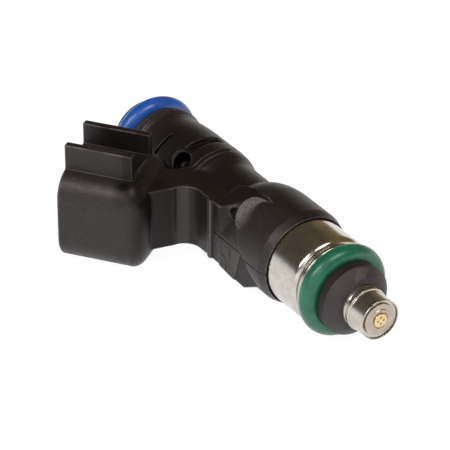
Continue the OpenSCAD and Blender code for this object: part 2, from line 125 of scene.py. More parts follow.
def mesh_field(f, lo, hi, h, name, steps=(8, 2), paint=None, edge_wear_and_highlight=None):
    """Meshes the zero surface of f. Works down from a coarse grid, then moves each vertex onto the surface itself.
    Keeps the surface's curvature as the attribute "edge": over 0 on outer edges, under 0 in inner corners."""
    n = [int(math.ceil((b - a) / h / steps[0])) * steps[0] for a, b in zip(lo, hi)]
    lo = np.array(lo, F)

    def at(idx):
        p = lo + F(h) * idx.astype(F)
        return f(p[:, 0], p[:, 1], p[:, 2]).astype(F)

    s = steps[0]
    blocks = np.stack(np.meshgrid(*[np.arange(0, k, s) for k in n], indexing="ij"), -1).reshape(-1, 3)
    d = at(blocks + s / 2)
    D = np.repeat(np.repeat(np.repeat(d.reshape([k // s for k in n]), s, 0), s, 1), s, 2)
    for nxt in list(steps[1:]) + [1]:
        keep = np.abs(d) < h * s * 0.87 * 1.25 + 0.1
        blocks = blocks[keep]
        off = np.stack(np.meshgrid(*[np.arange(0, s, nxt)] * 3, indexing="ij"), -1).reshape(-1, 3)
        blocks = (blocks[:, None, :] + off[None]).reshape(-1, 3)
        s = nxt
        parts = [at(blocks[i:i + 400000] + (s / 2 if s > 1 else 0)) for i in range(0, len(blocks), 400000)]
        d = np.concatenate(parts)
        if s == 1:
            D[blocks[:, 0], blocks[:, 1], blocks[:, 2]] = d
        else:
            far = np.abs(d) >= h * s * 0.87 * 1.25 + 0.1
            b = blocks[far]
            for i in range(s):
                for j in range(s):
                    for k in range(s):
                        D[b[:, 0] + i, b[:, 1] + j, b[:, 2] + k] = d[far]
    S = D < 0
    c = np.zeros([k - 1 for k in S.shape], np.uint8)
    for i in (0, 1):
        for j in (0, 1):
            for k in (0, 1):
                c += S[i:S.shape[0] - 1 + i, j:S.shape[1] - 1 + j, k:S.shape[2] - 1 + k]
    cell = np.argwhere((c > 0) & (c < 8))
    ids = np.full(c.shape, -1, np.int32)
    ids[cell[:, 0], cell[:, 1], cell[:, 2]] = np.arange(len(cell))
    P = np.zeros((len(cell), 3), F)
    W = np.zeros(len(cell), F)
    corners = [(i, j, k) for i in (0, 1) for j in (0, 1) for k in (0, 1)]
    val = {q: D[cell[:, 0] + q[0], cell[:, 1] + q[1], cell[:, 2] + q[2]] for q in corners}
    for a in corners:
        for ax in range(3):
            if a[ax]:
                continue
            b = list(a)
            b[ax] = 1
            va, vb = val[a], val[tuple(b)]
            hit = (va < 0) != (vb < 0)
            t = np.where(hit, va / np.where(hit, va - vb, 1), 0)
            q = np.zeros((len(cell), 3), F) + np.array(a, F)
            q[:, ax] += t
            P += q * hit[:, None]
            W += hit
    P = lo + F(h) * (cell + P / W[:, None])
    quads = []
    for ax in range(3):
        sl0 = [slice(1, m - 1) for m in S.shape]
        sl1 = list(sl0)
        sl0[ax] = slice(0, S.shape[ax] - 1)
        sl1[ax] = slice(1, S.shape[ax])
        s0, s1 = S[tuple(sl0)], S[tuple(sl1)]
        e = np.argwhere(s0 != s1)
        flip = s0[e[:, 0], e[:, 1], e[:, 2]]
        base = e + 1
        base[:, ax] -= 1
        u, v = (ax + 1) % 3, (ax + 2) % 3
        ring = []
        for du, dv in ((-1, -1), (0, -1), (0, 0), (-1, 0)):
            q = base.copy()
            q[:, u] += du
            q[:, v] += dv
            ring.append(ids[q[:, 0], q[:, 1], q[:, 2]])
        r = np.stack(ring, 1)
        r[~flip] = r[~flip][:, ::-1]
        quads.append(r)
    Q = np.concatenate(quads)
    eps = F(h * 0.45)

    def probe(P):
        g = np.zeros_like(P)
        tot = np.zeros(len(P), F)
        for ax in range(3):
            q = P.copy()
            q[:, ax] += eps
            a = f(q[:, 0], q[:, 1], q[:, 2])
            q[:, ax] -= 2 * eps
            b = f(q[:, 0], q[:, 1], q[:, 2])
            g[:, ax] = (a - b) / (2 * eps)
            tot += a + b
        d0 = f(P[:, 0], P[:, 1], P[:, 2])
        return d0, g, (tot - 6 * d0) / (eps * eps)

    for _ in range(2):
        d0, g, curv = probe(P)
        g2 = np.maximum((g * g).sum(1), 0.05)
        P = P - g * np.clip(d0 / g2, -0.6 * h, 0.6 * h)[:, None]
    m = bpy.data.meshes.new(name)
    m.vertices.add(len(P))
    m.vertices.foreach_set("co", (P * MM).astype(F).ravel())
    m.loops.add(len(Q) * 4)
    m.loops.foreach_set("vertex_index", Q.astype(np.int32).ravel())
    m.polygons.add(len(Q))
    m.polygons.foreach_set("loop_start", np.arange(0, len(Q) * 4, 4, dtype=np.int32))
    m.polygons.foreach_set("use_smooth", np.ones(len(Q), bool))
    m.update(calc_edges=True)
    m.validate()
    at_ = m.attributes.new("edge", "FLOAT", "POINT")
    at_.data.foreach_set("value", (np.clip(curv, -8, 8) * (edge_wear_and_highlight(P[:, 0], P[:, 1], P[:, 2]) if edge_wear_and_highlight else 1)).astype(F))
    if paint:
        at_ = m.attributes.new("tone", "FLOAT", "POINT")
        at_.data.foreach_set("value", paint(P[:, 0], P[:, 1], P[:, 2], g).astype(F))
    o = bpy.data.objects.new(name, m)
    bpy.context.scene.collection.objects.link(o)
    return o


# ---------------------------------------------------------------- moulded body
CA, SA = math.cos(math.radians(217)), math.sin(math.radians(217))
CX = -18.8
PROFILE = [(-49.3, 0), (-49.3, 6.42), (-49.05, 6.65), (-48.45, 6.65), (-47.6, 6.36), (-46.5, 6.31), (-45.3, 6.42),
           (-43.4, 6.58), (-41.5, 6.65), (-36.4, 6.65), (-36.2, 6.70), (-34.3, 6.68), (-33.9, 6.62), (-33.2, 6.6), (-32.9, 6.54), (-32.4, 6.43), (-31.8, 6.2), (-31.2, 6.03), (-30.8, 5.93),
           (-30.3, 5.85), (-23.75, 5.85), (-23.4, 6.05), (-23.0, 6.3), (-22.6, 6.56), (-21.6, 6.98), (-20.5, 7.28),
           (-19.3, 7.48), (-18.2, 7.58), (-17.2, 7.6), (-10.85, 7.6), (-10.6, 7.54), (-9.5, 7.2), (-9.25, 7.17),
           (-9.08, 7.17), (-9.08, 0)]
BARREL = Table(PROFILE, (-51, 0), (-8, 9.5), 0.04, 2)
ARM = Table([(-32.3, -17.5), (-31.1, -13.4), (-30.35, -9.6)] + arc(-27.6, -9.75, 2.8, 176, 96, 10) +
            [(-25.3, -6.95), (-25.15, -7.26), (-24.75, -7.32), (-24.3, -7.26), (-24.15, -6.95), (-20.5, -6.95),
             (-20.5, 0), (-34.2, 0), (-37.0, -4.6), (-37.25, -7.3), (-36.4, -8.6), (-40.5, -14.5)],
            (-44, -20), (-11, 3), 0.05, 2)
# where the round collar begins, over the angle from -Y towards +Z
STEP_T = [-60, -2.6, 4.5, 9, 14, 21, 29, 32, 37, 42.7, 49.4, 56.3, 63.4, 68.9, 72.2, 74.2, 75.3, 76.2, 77.2, 78, 79, 80]
STEP_X = [-14.1, -14.1, -15.3, -15.95, -16.44, -17.1, -18.05, -18.5, -18.9, -19.15, -19.35, -19.4, -19.1, -18.5, -17.6, -16.6, -15.8,
          -15.7, -16.8, -18.2, -20.2, -22]
# the saddle's outer edge, and its edge over the top
SAD_T = [0, 35, 43, 56, 67, 73.6, 76.9, 78.2, 79.5]
SAD_X = [-22.9, -23.4, -23.75, -23.95, -23.8, -23.1, -22.3, -21.4, -19.0]
NOTCH = Table([(-20.95, 4.65), (-20.98, 5.1), (-20.6, 5.5), (-19.85, 5.18), (-18.95, 3.9), (-20.0, 4.05), (-20.7, 4.35)],
              (-22, 3), (-18, 7), 0.03, 2)


def bore(X, R):
    """The room inside for the tube, the seat of the upper seal and the steel can."""
    d = np.maximum(np.maximum(R - 3.02, X + 19.4), -54 - X)
    d = np.minimum(d, np.maximum(np.maximum(R - 4.1, X + 46.4), -54 - X))
    d = np.minimum(d, np.maximum(R - 7.0 - 0.1 * np.clip((X + 9.35) / 0.2, 0, 1), np.abs(X + 8.9) - 0.5))
    d = np.minimum(d, np.maximum(np.maximum(R - 6.32, -19.9 - X), X + 8.5))
    return np.minimum(d, np.maximum(np.maximum(R - 6.92, -11.7 - X), X + 8.5))


def body_field(X, Y, Z):
    R = np.sqrt(Y * Y + Z * Z)
    m = (X - CX) * CA + Y * SA
    w = -(X - CX) * SA + Y * CA
    th = np.degrees(np.arctan2(Z, -Y))
    # barrel
    d = BARREL(X, R)
    # two fine ridges round the end of the head
    for x, lo, hi in ((-34.0, 43, 113), (-33.1, 49, 95)):
        rd = np.maximum(np.maximum(np.abs(X - x) - 0.05, R - 6.76), np.maximum(lo - th, th - hi) * 0.1)
        d = smin(d, rd, 0.14)
    # clip seats, pocket, line round the head
    for s in (1, -1):
        d = smax(d, -rbox(X, Y, s * Z, (-38.3, -4.6, 5.86), (-36.6, 4.6, 9), 0.2), 0.22)
    line = np.maximum(np.maximum(np.abs(X + 42.7) - 0.24, 6.05 - R), np.maximum(28 - th, th - 68) * 0.1)
    d = smax(d, -line, 0.12)
    # the side of the shoulder is cut back to a saddle above the parting line and to a flat wall below it
    step = np.interp(th, STEP_T, STEP_X).astype(F)
    cut = np.maximum(np.maximum(7.0 - R, (X - step) * 0.8), np.maximum((th - 79.0) * 0.12, -th * 0.12 - 0.3))
    d = smax(d, -np.where(Y < 0.5, cut, 3), 0.12)
    edge = np.interp(th, SAD_T, SAD_X).astype(F)
    sad = smax(R - 7.0, np.maximum(np.maximum((edge - X) * 0.8, X + 15), np.maximum((th - 78.5) * 0.12, -th * 0.12 - 0.1)), 0.16)
    d = smin(d, sad, 0.2)
    # wall of the block, and the face that runs from it to the collar
    xa = -16.5 + 0.34 * Z
    xb = np.interp(Z, [-4.0, -3.2, -2.4, -1.5, -0.35, 0.6], [-12.2, -12.45, -12.9, -13.5, -14.1, -15.2]).astype(F)
    col = np.sqrt(np.maximum(57.76 - Z * Z, 20))
    t = np.clip((X - xa) / (xb - xa), 0, 1)
    g = 6.95 - 0.2 * np.clip((X - xa) / 0.3, 0, 1) - np.clip((X - xa) * 0.06, 0, 0.3)
    g = g + np.maximum(X - xb, 0) * 0.6
    side = (-Y - g) * 0.96
    low = np.maximum(Z - 0.0, np.maximum(X - xb - 0.05, Y + 2))
    d = smax(d, -np.maximum(-side, low), 0.06)
    bot = np.maximum(-5.69 - (X + 19.6) * 0.105, -4.0 + (X + 12.2) * 0.54)
    blk = smax(smax(side, (bot - Z) * 0.9, 0.25), np.maximum(np.maximum(-22.15 - X, Y + 2.5), np.maximum(Z - 0.3, (X - xb) * 0.7)), 0.1)
    d = smin(d, blk, 0.12)
    groove = np.maximum(np.maximum(np.abs(X + 19.2) - 0.07, np.maximum(Z + 0.05, -5.5 - Z)), np.maximum(Y + 6.0, -Y - 8))
    d = smax(d, -np.maximum(groove, -(d + 0.09)), 0.03)
    # arm
    arm = smax(ARM(X, Y), np.abs(Z) - 5.05, 0.16)
    # the wall runs out on a taper into the saddle
    arm = smax(arm, np.where(Z > -3, (R - 6.96 + (X + 21.35) * 1.75) * 0.5, -4), 0.6)
    d = smin(d, arm, 0.3 + 1.3 * np.clip((X + 24.6) / 1.4, 0, 1) * np.clip((Z - 1) / 2.5, 0, 1))
    # recess in the side of the head, over the arm
    pk = smax((np.sqrt(((X + 36.75 + 0.1 * (Z - 4)) / 1.8) ** 2 + ((th - 46.5) / 14.5) ** 2) - 1) * 1.4, 4.5 - R, 0.6)
    d = smax(d, -pk, 0.5)
    # raised ramp on the saddle
    ramp = smax(R - (7.96 - (X + 19.4) * 0.16), np.maximum((step + 0.02 - X) * 0.8, X + 15.0), 0.1)
    ramp = np.maximum(ramp, np.maximum((30 - th) * 0.13, (th - 78) * 0.13))
    d = smin(d, ramp, 0.1)
    notch = NOTCH(X, np.radians(np.clip(th, 0, 90)) * 7.05)
    d = smax(d, -np.maximum(notch, np.maximum(6.95 - R, -th)), 0.1)
    d = smax(d, -np.maximum(np.maximum(np.abs(notch + 0.05) - 0.07, 6.75 - R), -th), 0.05)
    # connector shell: every corner has its own radius
    zc, hz = -0.45, 7.35
    up = np.clip((Z - zc) / 6 + 0.5, 0, 1)
    up = up * up * (3 - 2 * up)
    rs = 4.3 - 0.5 * up
    rm = 2.3 + 0.9 * up
    q = [np.maximum(17.9 + rm - m, 0) / rm, np.maximum(np.abs(w) - (7.55 - rs), 0) / rs,
         np.maximum(np.abs(Z - zc) - (hz - rs), 0) / rs]
    k0 = np.sqrt(q[0] ** 2 + q[1] ** 2 + q[2] ** 2)
    k1 = np.sqrt((q[0] / rm) ** 2 + (q[1] / rs) ** 2 + (q[2] / rs) ** 2)
    sh = np.where(k1 > 1e-5, k0 * (k0 - 1) / np.maximum(k1, 1e-5), -2.3)
    sh = smax(sh, m - 31.4, 0.35)
    d = smin(d, sh, 0.3)
    # pad, rails, ramp of the latch
    aw = np.abs(w)
    pad = rbox(m, w, Z, (20.5, -3.65, 3.5), (31.36, 3.65, 7.5), 0.1)
    d = smin(d, pad, 0.12)
    rail = smax(rbox(m, aw, Z, (20.5, 2.95, 3.5), (31.36, 4.15, 10.95), 0.17), -20, 0.1)
    d = smin(d, rail, 0.14)
    lr = np.maximum(np.maximum(np.maximum(26.1 - m, aw - 1.5), 7 - Z),
                    np.maximum(Z - 8.58, (m - 26.5) * 0.434 + (Z - 8.6) * 0.901))
    d = smin(d, lr, 0.15)
    # socket
    g = 1.5
    rt = 3.1 - 0.5 * up
    qa, qb = np.maximum(aw - (6.05 - rt), 0), np.maximum(np.abs(Z + 0.4) - (5.9 - rt), 0)
    so = np.sqrt(qa ** 2 + qb ** 2) - rt
    so = np.where((qa <= 0) & (qb <= 0), np.maximum(aw - 6.05, np.abs(Z + 0.4) - 5.9), so)
    so = smax(so, 20.6 - m, 0.5)
    so = np.maximum(so, m - 34)
    d = smax(d, -so, 0.3)
    # the mould's parting line

    pl = np.maximum(np.maximum(np.abs(Z) - 0.1, Y + 6.3), np.maximum(-24.1 - X, X + 9.5))
    d = np.where((np.abs(Z) < 0.5) & (X > -24.4) & (Y < -6), smax(d, -smax(pl, -(d + 0.1), 0.02), 0.05), d)
    # room for what goes inside
    return smax(d, -bore(X, R), 0.08)


# the tone attribute paints light and shade into the black nylon: over 0 a painted highlight, under 0 a painted shade
def tone(X, Y, Z, g):
    R = np.sqrt(Y * Y + Z * Z)
    th = np.degrees(np.arctan2(Z, -Y))
    step = np.interp(th, STEP_T, STEP_X)
    end = np.interp(th, [20, 32, 38, 49, 61, 69, 75, 78], [-16.4, -16.2, -16.1, -16.4, -17.0, -16.9, -15.9, -15.6])
    # painted highlight: a paler band on the collar's shoulder, where it faces the light
    pad = np.clip((end - X) / np.interp(th, [45, 62], [2.2, 0.3]), 0, 1) * (R > 7.52)
    pad *= (X > step - 0.05) * np.clip((th - 22) / 18, 0, 1) * (th < 77)
    xa = -16.5 + 0.34 * Z
    # painted shade: the face that runs from the block to the collar is darker
    face = (Z < 0.02) * (X > xa + 0.25) * (Y < -6.3) * (Y > -6.9) * (X < -12) * (g[:, 1] < -0.8)
    # painted shade: darker floors of the clip seats, and darker middle of the body
    floor = (X > -38.3) * (X < -36.6) * (R < 6.4) * (Y < 4.7)
    painted_shade = np.clip((X + 48) / 5, 0, 1) * np.clip((-17.5 - X) / 3, 0, 1) * np.clip((Y + 18) / 4, 0, 1) * 0.5
    # painted shade: darker top of the collar, and darker side wall of the arm
    painted_shade = np.maximum(painted_shade, np.clip((th - 76) / 12, 0, 1) * np.clip((X + 17.6) / 1.5, 0, 1) * (th < 150) * 0.35)
    painted_shade = np.maximum(painted_shade, np.clip((-9.3 - Y) / 1.0, 0, 1) * np.clip((Y + 18) / 2, 0, 1) * (X > -34) * 0.72)
    # painted shade: darker recess of the head, and darker corner between arm and shell
    painted_shade = np.maximum(painted_shade, (np.abs(X + 36.9) < 2) * (np.abs(th - 46) < 17) * (R < 6.3) * 0.92)
    painted_shade = np.maximum(painted_shade, np.clip(1.6 - np.hypot(X + 32.3, Y + 17.3) / 1.2, 0, 1) * 0.9)
    # painted highlight: paler bend of the arm, and its rib
    bend = np.degrees(np.arctan2(Y + 9.75, X + 27.6))
    painted_highlight = (np.abs(np.hypot(X + 27.6, Y + 9.75) - 2.8) < 0.3) * np.clip((bend - 130) / 5, 0, 1) * np.clip((174 - bend) / 4, 0, 1)
    painted_highlight = np.maximum(painted_highlight, (X > -25.2) * (X < -24.2) * (Y < -7.0) * (Y > -7.5)) * (np.abs(Z) < 4.9)
    return pad - face * 0.8 - (1 - pad) * np.maximum(floor * 0.85, painted_shade) + painted_highlight * 0.6


def edge_wear_and_highlight(X, Y, Z):
    # pale edges, part wear and part painted highlight, are weakened in the line round the head, the clip seats, the
    # recess, along the parting line and near the arm's end over the saddle
    k = 1 - 0.8 * (np.abs(X + 42.7) < 0.6) * (Y < -2)
    k *= 1 - 0.75 * (X > -38.7) * (X < -36.2)
    k *= 1 - 0.6 * (X > -38.9) * (X < -34.5) * (Y < -3) * (Z > 2) * (np.sqrt(Y * Y + Z * Z) < 7)
    k *= 1 - 0.95 * (np.abs(Z) < 0.35) * (X > -24.1) * (Y < -6.2)
    k *= 1 - 0.8 * (X > -22.1) * (X < -17.6) * (Z > 4.2) * (Z < 5.6) * (Y < -4.4)
    k *= 1 - 0.6 * (X > -21.3) * (X < -18.2) * (Y < -4.5) * (Z > 3.3) * (Z < 5.2)
    return k


body = mesh_field(body_field, (-50.2, -33 + 8.0, -8.3), (-8.3, 8.3, 11.5), 0.14, "moulded_body", paint=tone,
                  edge_wear_and_highlight=edge_wear_and_highlight)
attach(body, "injector_body")
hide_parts("overmould")


# ---------------------------------------------------------------- turned pieces
def rounded(pts):
    """Points are (x, r, radius of that corner)."""
    out = []
    n = len(pts)
    for i, p in enumerate(pts):
        x, y = p[:2]
        rad = p[2] if len(p) > 2 else 0
        if not rad:
            out.append((x, y))
            continue
        a, b = pts[i - 1], pts[(i + 1) % n]
        u, v = np.array([a[0] - x, a[1] - y]), np.array([b[0] - x, b[1] - y])
        lu, lv = np.linalg.norm(u), np.linalg.norm(v)
        u, v = u / lu, v / lv
        half = math.acos(max(-1, min(1, float(u @ v)))) / 2
        t = min(rad / math.tan(half), lu * 0.48, lv * 0.48)
        rr = t * math.tan(half)
        c = np.array([x, y]) + (u + v) / np.linalg.norm(u + v) * (rr / math.sin(half))
        p0, p1 = np.array([x, y]) + u * t - c, np.array([x, y]) + v * t - c
        a0, a1 = math.atan2(p0[1], p0[0]), math.atan2(p1[1], p1[0])
        da = (a1 - a0 + math.pi) % (2 * math.pi) - math.pi
        k = max(3, int(abs(da) / 0.2))
        out += [(c[0] + rr * math.cos(a0 + da * j / k), c[1] + rr * math.sin(a0 + da * j / k)) for j in range(k + 1)]
    return out


def lathe(name, pts, node, seg=240, smooth=0.6, wobble=None):
    """A closed profile turned about the X axis."""
    pr = rounded(pts)
    # evenly fine along the long straight stretches, so that a small waviness can show
    fine = []
    for i, a in enumerate(pr):
        b = pr[(i + 1) % len(pr)]
        L = math.hypot(b[0] - a[0], b[1] - a[1])
        k = max(1, int(L / 0.5))
        fine += [(a[0] + (b[0] - a[0]) * j / k, a[1] + (b[1] - a[1]) * j / k) for j in range(k)]
    pr = fine
    n = len(pr)
    ang = np.linspace(0, 2 * math.pi, seg, endpoint=False)
    axis = [abs(p[1]) < 1e-6 for p in pr]
    verts, idx = [], np.zeros((n, seg), int)
    for i, (x, r) in enumerate(pr):
        if axis[i]:
            verts.append((x * MM, 0, 0))
            idx[i] = len(verts) - 1
        else:
            for j, a in enumerate(ang):
                rr = r + (wobble(x, a) if wobble else 0)
                verts.append((x * MM, rr * math.cos(a) * MM, rr * math.sin(a) * MM))
                idx[i, j] = len(verts) - 1
    faces = []
    for i in range(n):
        k = (i + 1) % n
        if axis[i] and axis[k]:
            continue
        for j in range(seg):
            l = (j + 1) % seg
            f = [idx[i, j], idx[k, j], idx[k, l], idx[i, l]]
            f = [v for t, v in enumerate(f) if v not in f[:t]]
            if len(f) > 2:
                faces.append(f)
    m = bpy.data.meshes.new(name)
    m.from_pydata(verts, [], [[int(v) for v in f] for f in faces])
    import bmesh
    bm = bmesh.new()
    bm.from_mesh(m)
    bmesh.ops.recalc_face_normals(bm, faces=bm.faces)
    bm.to_mesh(m)
    bm.free()
    m.polygons.foreach_set("use_smooth", np.ones(len(m.polygons), bool))
    m.set_sharp_from_angle(angle=smooth)
    o = bpy.data.objects.new(name, m)
    bpy.context.scene.collection.objects.link(o)
    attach(o, frame_body(node))
    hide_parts(node)
    return o


def frame_body(node):
    for b, members in frame["record"]["behaviour"]["bodies"].items():
        if node in members:
            return b


OC, OR = 5.7, 1.6


def seal(name, x, node, flash):
    pts = []
    for i in range(96):
        a = 2 * math.pi * i / 96
        r = OR - 0.012
        # the thin flash line that the mould leaves, inside and out
        r += 0.012 * math.exp(-((math.sin(a) * 1.0) / 0.03) ** 2) * (1 if math.cos(a) > 0 else 0.6) if flash == 0 else 0
        if flash == 1:
            r += 0.012 * math.exp(-(((a - math.pi / 2 + math.pi) % (2 * math.pi) - math.pi) / 0.03) ** 2)
        pts.append((x + r * math.sin(a), OC + r * math.cos(a)))
    return lathe(name, pts, node, 256, 3.0)


up_seal = seal("upper_seal", -52, "upper_o_ring", 0)
low_seal = seal("lower_seal", 0, "lower_o_ring", 0)
can = lathe("steel_can", [(-19.85, 5.8), (-19.85, 6.3, 0.1), (-11.66, 6.3), (-11.66, 6.9, 0.05), (-2.35, 6.9, 1.05), (-2.35, 4.12, 0.1),
                          (-4.2, 4.12), (-4.2, 6.3, 0.2), (-12.2, 6.3), (-12.2, 5.8)], "magnet_housing", 256)
back = lathe("backing_washer", [(-2.3, 4.1), (-2.3, 6.35, 0.18), (-1.75, 6.35, 0.2), (-1.66, 6.1), (-1.66, 4.1)], "backing_ring", 256)
cap = lathe("tip_cap", [(1.64, 3.44), (1.64, 5.58, 0.22), (3.35, 5.64, 0.16), (4.2, 4.9, 0.12), (4.78, 4.3, 0.25), (5.04, 3.9, 0.14),
                        (5.04, 3.44)], "lower_cap", 256)
# painted shade: the cap's rim is darker than its cone
at = np.zeros(len(cap.data.vertices) * 3, np.float32)
cap.data.vertices.foreach_get("co", at)
at = at[0::3] * (1000 if np.abs(at).max() < 1 else 1)
cap.data.attributes.new("tone", "FLOAT", "POINT").data.foreach_set("value", np.where(at < 3.38, -0.6, 0.03).astype(np.float32))
tube = lathe("tip_tube", [(-10.4, 2.6), (-10.4, 3.0), (-5.4, 3.0, 0.3), (-5.0, 4.08, 0.3), (1.58, 4.08), (1.62, 3.42), (5.2, 3.42), (5.6, 3.3, 0.1), (6.08, 3.28, 0.06), (6.16, 3.42, 0.1), (6.4, 3.42, 0.1),
                          (6.48, 3.2, 0.04), (9.6, 3.2, 0.12), (9.6, 3.02, 0.05), (9.24, 2.96, 0.04),
                          (9.2, 2.47, 0.05), (6.55, 2.47), (6.55, 1.9), (-2.4, 1.9), (-2.9, 2.6)], "valve_body", 256)
keep = lathe("plate_ring", [(9.46, 1.25), (9.46, 2.5), (9.5, 2.5, 0.03), (9.52, 1.78, 0.08), (9.68, 1.66, 0.05), (9.7, 1.5, 0.06), (9.69, 1.34, 0.05),
                            (9.58, 1.25)], "plate_retainer", 240)
support = lathe("upper_ring", [(-50.37, 4.1), (-50.37, 6.2, 0.12), (-49.34, 6.2, 0.08), (-49.34, 4.1)], "upper_support_ring", 200)


def plate_field(X, Y, Z):
    R = np.sqrt(Y * Y + Z * Z)
    disc = smax(R - 2.46, np.maximum(9.3 - X, X - 9.46), 0.05)
    dome = smax(R - 1.1, np.maximum(9.3 - X, X - (9.86 - 0.03 * R ** 2)), 0.12)
    d = smin(disc, dome, 0.08)
    for s, t in ((0.5, 0), (-0.5, 0), (0, 0.5), (0, -0.5)):
        h = np.sqrt((Y - s) ** 2 + (Z - t) ** 2) - 0.13 + 0.04 * np.clip(9.7 - X, 0, 1)
        d = smax(d, -np.maximum(h, 9.2 - X), 0.05)
    return d


plate = mesh_field(plate_field, (9.15, -2.7, -2.7), (10.0, 2.7, 2.7), 0.04, "spray_plate", (4, 2))
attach(plate, "injector_body")
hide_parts("orifice_plate")


# ---------------------------------------------------------------- materials
class Mat:
    def __init__(self, name):
        self.m = bpy.data.materials.new(name)
        self.m.use_nodes = True
        self.t = self.m.node_tree
        self.t.nodes.clear()
        out = self.t.nodes.new("ShaderNodeOutputMaterial")
        self.b = self.t.nodes.new("ShaderNodeBsdfPrincipled")
        self.t.links.new(self.b.outputs[0], out.inputs[0])
        self.co = self.t.nodes.new("ShaderNodeTexCoord").outputs["Object"]

    def put(self, sock, v):
        if isinstance(v, bpy.types.NodeSocket):
            self.t.links.new(v, sock)
        else:
            sock.default_value = v

    def scale(self, sx, sy=None, sz=None):
        n = self.t.nodes.new("ShaderNodeMapping")
        self.put(n.inputs[0], self.co)
        n.inputs["Scale"].default_value = (sx, sy if sy is not None else sx, sz if sz is not None else sx)
        return n.outputs[0]

    def noise(self, vec, scale, detail=2.0, rough=0.5, dist=0.0):
        n = self.t.nodes.new("ShaderNodeTexNoise")
        self.put(n.inputs["Vector"], vec)
        n.inputs["Scale"].default_value = scale
        n.inputs["Detail"].default_value = detail
        n.inputs["Roughness"].default_value = rough
        n.inputs["Distortion"].default_value = dist
        return n.outputs[0]

    def voro(self, vec, scale, feature="F1"):
        n = self.t.nodes.new("ShaderNodeTexVoronoi")
        n.feature = feature
        self.put(n.inputs["Vector"], vec)
        n.inputs["Scale"].default_value = scale
        return n.outputs["Distance"]

    def ramp(self, v, a, b, lo=0.0, hi=1.0, smooth=False):
        n = self.t.nodes.new("ShaderNodeMapRange")
        n.clamp = True
        if smooth:
            n.interpolation_type = "SMOOTHSTEP"
        self.put(n.inputs["Value"], v)
        for k, x in zip(("From Min", "From Max", "To Min", "To Max"), (a, b, lo, hi)):
            n.inputs[k].default_value = x
        return n.outputs[0]

    def math(self, op, a, b=None):
        n = self.t.nodes.new("ShaderNodeMath")
        n.operation = op
        self.put(n.inputs[0], a)
        if b is not None:
            self.put(n.inputs[1], b)
        return n.outputs[0]

    def mix(self, f, a, b):
        n = self.t.nodes.new("ShaderNodeMix")
        n.data_type = "RGBA"
        self.put(n.inputs[0], f)
        for k, c in ((6, a), (7, b)):
            self.put(n.inputs[k], c if isinstance(c, bpy.types.NodeSocket) else (*c, 1))
        return n.outputs[2]

    def bump(self, h, dist, strength=1.0, base=None):
        n = self.t.nodes.new("ShaderNodeBump")
        n.inputs["Strength"].default_value = strength
        n.inputs["Distance"].default_value = dist
        self.put(n.inputs["Height"], h)
        if base is not None:
            self.put(n.inputs["Normal"], base)
        return n.outputs[0]

    def attr(self, name):
        n = self.t.nodes.new("ShaderNodeAttribute")
        n.attribute_name = name
        return n.outputs["Fac"]

    def edge(self, size=0.0001):
        n = self.t.nodes.new("ShaderNodeNewGeometry")
        return n.outputs["Pointiness"]

    def xyz(self):
        n = self.t.nodes.new("ShaderNodeSeparateXYZ")
        self.put(n.inputs[0], self.co)
        return n.outputs

    def done(self, color=None, rough=None, normal=None, **kw):
        if color is not None:
            self.put(self.b.inputs["Base Color"], color if isinstance(color, bpy.types.NodeSocket) else (*color, 1))
        if rough is not None:
            self.put(self.b.inputs["Roughness"], rough)
        if normal is not None:
            self.put(self.b.inputs["Normal"], normal)
        for k, v in kw.items():
            self.b.inputs[k.replace("_", " ")].default_value = v
        return self.m


